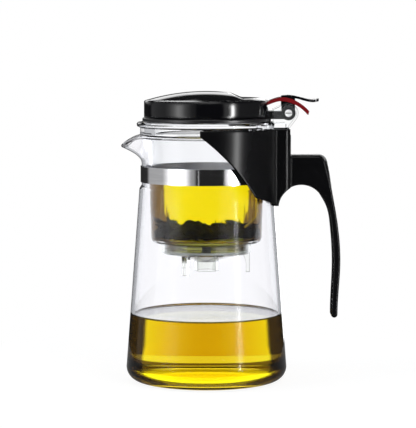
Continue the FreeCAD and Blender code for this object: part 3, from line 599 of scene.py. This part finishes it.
# Painted light: the jug tea's floor is a paler, brighter yellow than its sides, in place of light coming up
# from the paper below.
pool_floor_light = (1.0, 0.97, 0.12)
pour("poured_tea", pool, pool_side, pool_floor_light, floor_rings=len(floor_shares) + 1,
     corner_rings=len(floor_shares) + corner_steps, top_rings=len(meniscus) + 1, body="jug")

cup_low, cup_high = (0.0303, 0.0832), (0.0314, brew_level)
brew_dip = 0.0008
brew = [(0.0, 0.0724), (0.0066, 0.0719), (0.0212, 0.0761), (0.0222, 0.0765), (0.0226, 0.0823),
        (cup_low[0] - 0.001, 0.0826), cup_low, (cup_high[0], brew_level - 0.0007), cup_high,
        (cup_high[0] - 0.0006, brew_level - 0.0005), (cup_high[0] - 0.002, brew_level - brew_dip),
        (0.0, brew_level - brew_dip)]
# Painted shade: past about a quarter of the way to edge-on, the side colour drops to dark brown.
brew_side = [(0.0, (1.0, 0.78, 0.003)), (0.12, (1.0, 0.82, 0.004)), (0.235, (0.95, 0.75, 0.006)),
             (0.26, (0.22, 0.12, 0.02)), (1.0, (0.08, 0.05, 0.02))]
# Painted shade: the infuser tea's floor is a dull olive, in place of the shade under the screen and leaves.
brew_floor_shade = (0.35, 0.34, 0.06)
pour("standing_tea", brew, brew_side, brew_floor_shade, floor_rings=4, corner_rings=6, top_rings=4, body="infuser")

# The leaves: whole twisted tea leaves, opened by the water, in a loose heap on the screen.
# Most are laid by a seeded draw, and eight curled ones stand up from the heap towards the front.
leaf_count = 220
leaf_steps = 9
leaf_floor = 0.0835
leaf_lift = 0.001
leaf_thickness = 0.0004
leaf_tip, leaf_body, leaf_taper = 0.06, 0.88, 0.7
leaf_hollow = 0.25
leaf_lengths = (0.009, 0.016)
leaf_widths = (0.0014, 0.003)
pitch_most, curl_most, twist_most = 0.3, 0.8, 2.2
standing_twist = 1.1
standing_sink = 0.002
heap_radius = 0.0288
heap_depth = 0.0052
heap_climb, climb_from, climb_curve = 0.011, 0.5, 1.5
heap_bumps, bumps_along, bumps_across = 0.001, 300, 120
heap_fill = 0.95
heap_seed = 7
wet_leaf, leaf_principled, leaf_add, leaf_join = shader("wet_leaf")
leaf_principled.inputs["Roughness"].default_value = 0.5
leaf_principled.inputs["Specular IOR Level"].default_value = 0.15
leaf_place = leaf_add("TexCoord")
leaf_cloud = leaf_add("TexNoise", {"Vector": leaf_place.outputs["Object"], "Scale": 160.0, "Detail": 4.0})
leaf_tone = leaf_add("ValToRGB", {"Fac": leaf_cloud.outputs["Fac"]})
ramp_stops(leaf_tone, [(0.3, (0.003, 0.0025, 0.002)), (0.55, (0.007, 0.005, 0.003)),
                       (0.75, (0.02, 0.017, 0.006))])
leaf_join(leaf_tone.outputs["Color"], "Base Color")
heap = random.Random(heap_seed)
leaf_verts, leaf_faces = [], []


def heap_top(x, y):
    """Height of the top of the heap, which climbs against the cup's wall on the spout's side."""
    climb = max(0.0, -x / heap_radius - climb_from) / climb_from
    bump = heap_bumps * math.sin(bumps_along * x + bumps_across * y)
    return leaf_floor + heap_depth + heap_climb * climb ** climb_curve + bump


def lay_leaf(middle, length, width, heading, pitch, curl, twist, roll):
    """Adds one leaf: a strip that tapers to both ends, bowed along its length and rolled about it."""
    start = len(leaf_verts)
    leaf_turn = Matrix.Rotation(heading, 3, "Z") @ Matrix.Rotation(pitch, 3, "Y")
    for step in range(leaf_steps):
        share = step / (leaf_steps - 1)
        bow = curl * length * (share - 0.5) ** 2
        half = width * math.sin(math.pi * (leaf_tip + leaf_body * share)) ** leaf_taper
        lean = roll + twist * (share - 0.5)
        side = Vector((0, math.cos(lean), math.sin(lean)))
        up = Vector((0, -math.sin(lean), math.cos(lean)))
        spine = Vector(((share - 0.5) * length, 0, bow))
        for offset, lift in ((-1, leaf_hollow), (0, 0.0), (1, leaf_hollow)):
            place = middle + leaf_turn @ (spine + side * half * offset + up * half * lift)
            flat = math.hypot(place.x, place.y)
            if flat > heap_radius:
                place.x, place.y = place.x * heap_radius / flat, place.y * heap_radius / flat
            place.z = max(place.z, leaf_floor)
            leaf_verts.append(tuple(place))
    for step in range(leaf_steps - 1):
        a = start + 3 * step
        leaf_faces.extend([(a, a + 1, a + 4, a + 3), (a + 1, a + 2, a + 5, a + 4)])


for _ in range(leaf_count):
    turn = heap.uniform(0, 2 * math.pi)
    reach = heap_radius * math.sqrt(heap.random()) * heap_fill
    middle = Vector((reach * math.cos(turn), reach * math.sin(turn), 0))
    middle.z = heap.uniform(leaf_floor + leaf_lift, heap_top(middle.x, middle.y))
    lay_leaf(middle, heap.uniform(*leaf_lengths), heap.uniform(*leaf_widths), heap.uniform(0, 2 * math.pi),
             heap.uniform(-pitch_most, pitch_most), heap.uniform(-curl_most, curl_most),
             heap.uniform(-twist_most, twist_most), heap.uniform(0, math.pi))
for x, y, rise, length, width, heading, pitch, curl in (
        (-0.0095, -0.0215, 0.0052, 0.0125, 0.0026, 0.15, -0.32, -1.3),
        (-0.0045, -0.0225, 0.0062, 0.0075, 0.0012, 0.3, 0.3, -2.4),
        (0.0045, -0.0225, 0.0022, 0.0075, 0.0009, 0.2, -0.5, 3.2),
        (0.0085, -0.0215, 0.0024, 0.0065, 0.0008, 2.7, -0.6, 2.6),
        (-0.0185, -0.0165, 0.0042, 0.0115, 0.0016, 2.5, -0.5, 0.8),
        (0.0165, -0.0185, 0.0012, 0.0125, 0.0014, -0.4, 0.1, 0.6),
        (-0.0005, -0.0235, 0.0010, 0.0135, 0.0017, 0.1, 0.05, -0.4),
        (0.0215, -0.0120, 0.0016, 0.0095, 0.0012, 0.9, -0.2, 0.8)):
    middle = Vector((x, y, heap_top(x, y) + rise - standing_sink))
    lay_leaf(middle, length, width, heading, pitch, curl, standing_twist, math.pi / 2)
leaves = add_mesh("tea_leaves", leaf_verts, leaf_faces, wet_leaf, "infuser")
thick = leaves.modifiers.new("thickness", "SOLIDIFY")
thick.thickness = leaf_thickness
thick.offset = 0

# The table and the light: a round sheet of matt white paper under the jug, in a plain white room.
# Two large soft lamps stand in front. What is mirrored is a studio with panels and softboxes, chosen
# by Light Path, because a room that is white all round would wash out black gloss, steel and glass.
sheet_radius = 0.19
sheet_level = -0.0003
sheet_corners = 96
paper_seen, paper_mirrored = 1.12, 0.12
paper_glow_share = 0.8
sheet_angles = [2 * math.pi * k / sheet_corners for k in range(sheet_corners)]
sheet_ring = [(sheet_radius * math.cos(angle), sheet_radius * math.sin(angle), sheet_level)
              for angle in sheet_angles]
sheet_mesh = bpy.data.meshes.new("sheet")
sheet_mesh.from_pydata(sheet_ring, [], [tuple(range(sheet_corners))])
sheet = bpy.data.objects.new("sheet", sheet_mesh)
scene.collection.objects.link(sheet)
paper = bpy.data.materials.new("white_paper")
paper.use_nodes = True
paper_add = adder(paper.node_tree)
paper_matt = paper_add("BsdfDiffuse", {"Color": (0.9, 0.9, 0.9, 1)})
paper_path = paper_add("LightPath")
mirrored = paper_add("Math", {0: paper_path.outputs["Is Glossy Ray"],
                              1: paper_path.outputs["Is Transmission Ray"]}, operation="SUBTRACT")
paper_level = paper_add("MapRange", {"Value": mirrored.outputs["Value"], "To Min": paper_seen,
                                     "To Max": paper_mirrored})
paper_glow = paper_add("Emission", {"Strength": paper_level.outputs["Result"]})
paper_mix = paper_add("MixShader", {"Fac": paper_glow_share, 1: paper_matt.outputs["BSDF"],
                                    2: paper_glow.outputs["Emission"]})
paper_add("OutputMaterial", {"Surface": paper_mix.outputs["Shader"]})
sheet_mesh.materials.append(paper)

room = bpy.data.worlds.new("room")
scene.world = room
room.use_nodes = True
room.cycles.sampling_method = "NONE"
add_room = adder(room.node_tree)
way = add_room("TexCoord").outputs["Generated"]
split = add_room("SeparateXYZ", {"Vector": way})


def sums(operation, first, second):
    """The result of one sum on two numbers."""
    return add_room("Math", {0: first, 1: second}, operation=operation).outputs["Value"]


def glide(value, start, end, low=0.0, high=1.0):
    """Goes evenly from the low level to the high one as the value goes from start to end."""
    return add_room("MapRange", {"Value": value, "From Min": start, "From Max": end,
                                 "To Min": low, "To Max": high}).outputs["Result"]


bearing = glide(sums("ARCTAN2", split.outputs["X"], sums("MULTIPLY", split.outputs["Y"], -1.0)),
                -math.pi, math.pi)


def round_about(levels, full=1.0):
    """Light by bearing, from pairs of degrees and level, as a share of the full level."""
    ramp = add_room("ValToRGB", {"Fac": bearing})
    ramp_stops(ramp, [((degrees + 180) / 360, [level / full] * 3) for degrees, level in levels])
    return ramp.outputs["Color"]


def up_and_down(levels):
    """Light by height, from pairs of height and level."""
    ramp = add_room("ValToRGB", {"Fac": split.outputs["Z"]})
    ramp_stops(ramp, [(height, [level] * 3) for height, level in levels])
    return ramp.outputs["Color"]


def softbox(toward, inner, outer, level, other):
    """Adds a round patch of light in one direction to the light that is there already."""
    facing = add_room("VectorMath", {0: way, 1: Vector(toward).normalized()}, operation="DOT_PRODUCT")
    patch = glide(facing.outputs["Value"], math.cos(math.radians(outer)), math.cos(math.radians(inner)),
                  high=level)
    return sums("MAXIMUM", patch, other)


panel_levels = ((-172, 0.02), (-126, 0.03), (-118, 0.42), (-82, 0.45), (-72, 1.0), (-62, 2.6), (-53, 5.4),
                (-46, 4.0), (-40, 1.8), (-34, 1.05), (-27, 0.4), (-21, 0.3), (-17, 0.02), (30, 0.02),
                (35, 0.95), (41, 1.2), (45, 6.0), (48, 36.0), (51, 36.0), (54, 6.0), (58, 1.2), (63, 0.3),
                (84, 0.22), (126, 0.08), (150, 0.02))
brightest_panel = max(level for _, level in panel_levels)
panel_high = 1.2
panel_fall_low, panel_fall_high = 0.05, 0.2
panel_end_low, panel_end_high = 0.6, 0.75
band_level = 1.7
band_start, band_full = 0.5, 0.8
strip_level = 7.0
panels = sums("MULTIPLY", round_about(panel_levels, brightest_panel), brightest_panel)
panel_cap = glide(split.outputs["Z"], panel_fall_low, panel_fall_high, brightest_panel, panel_high)
panels = sums("MINIMUM", panels, panel_cap)
panels = sums("MULTIPLY", panels, glide(split.outputs["Z"], panel_end_high, panel_end_low))
low_band = up_and_down(((0.13, 0), (0.19, 1), (0.28, 1), (0.34, 0)))
back_band = sums("MULTIPLY", glide(split.outputs["Y"], band_start, band_full), low_band)
brightest = sums("MAXIMUM", panels, sums("MULTIPLY", back_band, band_level))
for toward, inner, outer, level in (((0, -0.25, 0.97), 14, 22, 4.0),
                                    ((-0.2334, -0.9724, -0.075), 0.5, 1.1, 0.8),
                                    ((0.065, 0.99, 0.1), 2.4, 3.2, 3.0),
                                    ((0.24, 0.97, -0.05), 5.0, 8.0, 3.0)):
    brightest = softbox(toward, inner, outer, level, brightest)
strip_place = round_about(((-178.56, 0), (-172.8, 1), (-154.8, 1), (-147.6, 0)))
strip_rise = up_and_down(((0.5, 0), (0.55, 1), (0.85, 1), (0.9, 0)))
strip = sums("MULTIPLY", sums("MULTIPLY", strip_place, strip_rise), strip_level)
brightest = sums("MAXIMUM", strip, brightest)
backdrop = round_about(((-170, 1.0), (-155, 0.86), (-110, 0.86), (-60, 0.95), (-20, 1.0), (180, 1.0)))
back_light = glide(split.outputs["Y"], start=0.3, end=0.7, low=1.25, high=1.6)
studio = add_room("Background", {"Color": (1, 1, 1, 1), "Strength": brightest})
white_room = add_room("Background", {"Color": (1, 1, 1, 1), "Strength": 1.0})
glass_room = add_room("Background", {"Color": backdrop, "Strength": 1.0})
inner_room = add_room("Background", {"Color": (0.95, 0.97, 1.0, 1), "Strength": 0.6})
dim_room = add_room("Background", {"Color": (0.95, 0.97, 1.0, 1), "Strength": 0.45})
deep_room = add_room("Background", {"Color": (0.97, 0.98, 1.0, 1), "Strength": back_light})
path = add_room("LightPath")


def passed(depth, count):
    """Whether the light has met more than this count of surfaces of one kind."""
    return sums("GREATER_THAN", path.outputs[depth], count)


def instead(choice, usual, other):
    """One light in place of another where the choice holds."""
    return add_room("MixShader", {"Fac": choice, 1: usual.outputs[0], 2: other.outputs[0]})


none, through_wall, within, through_jug = 0.5, 2.5, 0.75, 3.5
in_wall = add_room("Math", {0: path.outputs["Transmission Depth"], 1: through_wall, 2: within},
                   operation="COMPARE")
reflected = instead(in_wall.outputs["Value"], studio, inner_room)
reflected = instead(passed("Transmission Depth", through_jug), reflected, deep_room)
seen = instead(passed("Transmission Depth", none), white_room, glass_room)
seen = instead(passed("Glossy Depth", none), seen, reflected)
seen = instead(passed("Diffuse Depth", none), seen, dim_room)
add_room("OutputWorld", {"Surface": seen.outputs["Shader"]})


def soft_lamp(name, place, aim, width, height, watts):
    """A large lamp that lights the object and isn't mirrored in it."""
    lamp = bpy.data.lights.new(name, "AREA")
    lamp.shape = "RECTANGLE"
    lamp.size = width
    lamp.size_y = height
    lamp.energy = watts
    holder = bpy.data.objects.new(name, lamp)
    holder.location = place
    holder.rotation_euler = (Vector(aim) - Vector(place)).to_track_quat("-Z", "Y").to_euler()
    holder.visible_glossy = False
    scene.collection.objects.link(holder)


jug_middle = (0, 0, 0.1)
soft_lamp("left_lamp", (-1.15, -0.45, 0.42), jug_middle, width=0.9, height=1.3, watts=9.0)
soft_lamp("right_lamp", (0.78, -0.98, 0.38), jug_middle, width=0.75, height=1.3, watts=9.0)

# The camera stands a little above the lid, a good metre away, and looks slightly down on the jug.
# Its lens is set so that one dot of the picture is 0.58 mm at the jug's axis.
stand_off = 1.15
lens_height = 0.195
aim_height = 0.0966
across = 0.0009
picture_rows = 428
dot = 0.00058
sensor = 36.0
camera = bpy.data.cameras.new("camera")
camera.sensor_fit = "VERTICAL"
camera.sensor_height = sensor
camera.lens = sensor * math.hypot(stand_off, lens_height - aim_height) / (picture_rows * dot)
eye = bpy.data.objects.new("camera", camera)
eye.location = (across, -stand_off, lens_height)
eye.rotation_euler = (Vector((across, 0, aim_height)) - eye.location).to_track_quat("-Z", "Y").to_euler()
scene.collection.objects.link(eye)
scene.camera = eye
scene.view_settings.view_transform = "Standard"
scene.cycles.max_bounces = 40
scene.cycles.transmission_bounces = 40
scene.cycles.transparent_max_bounces = 24
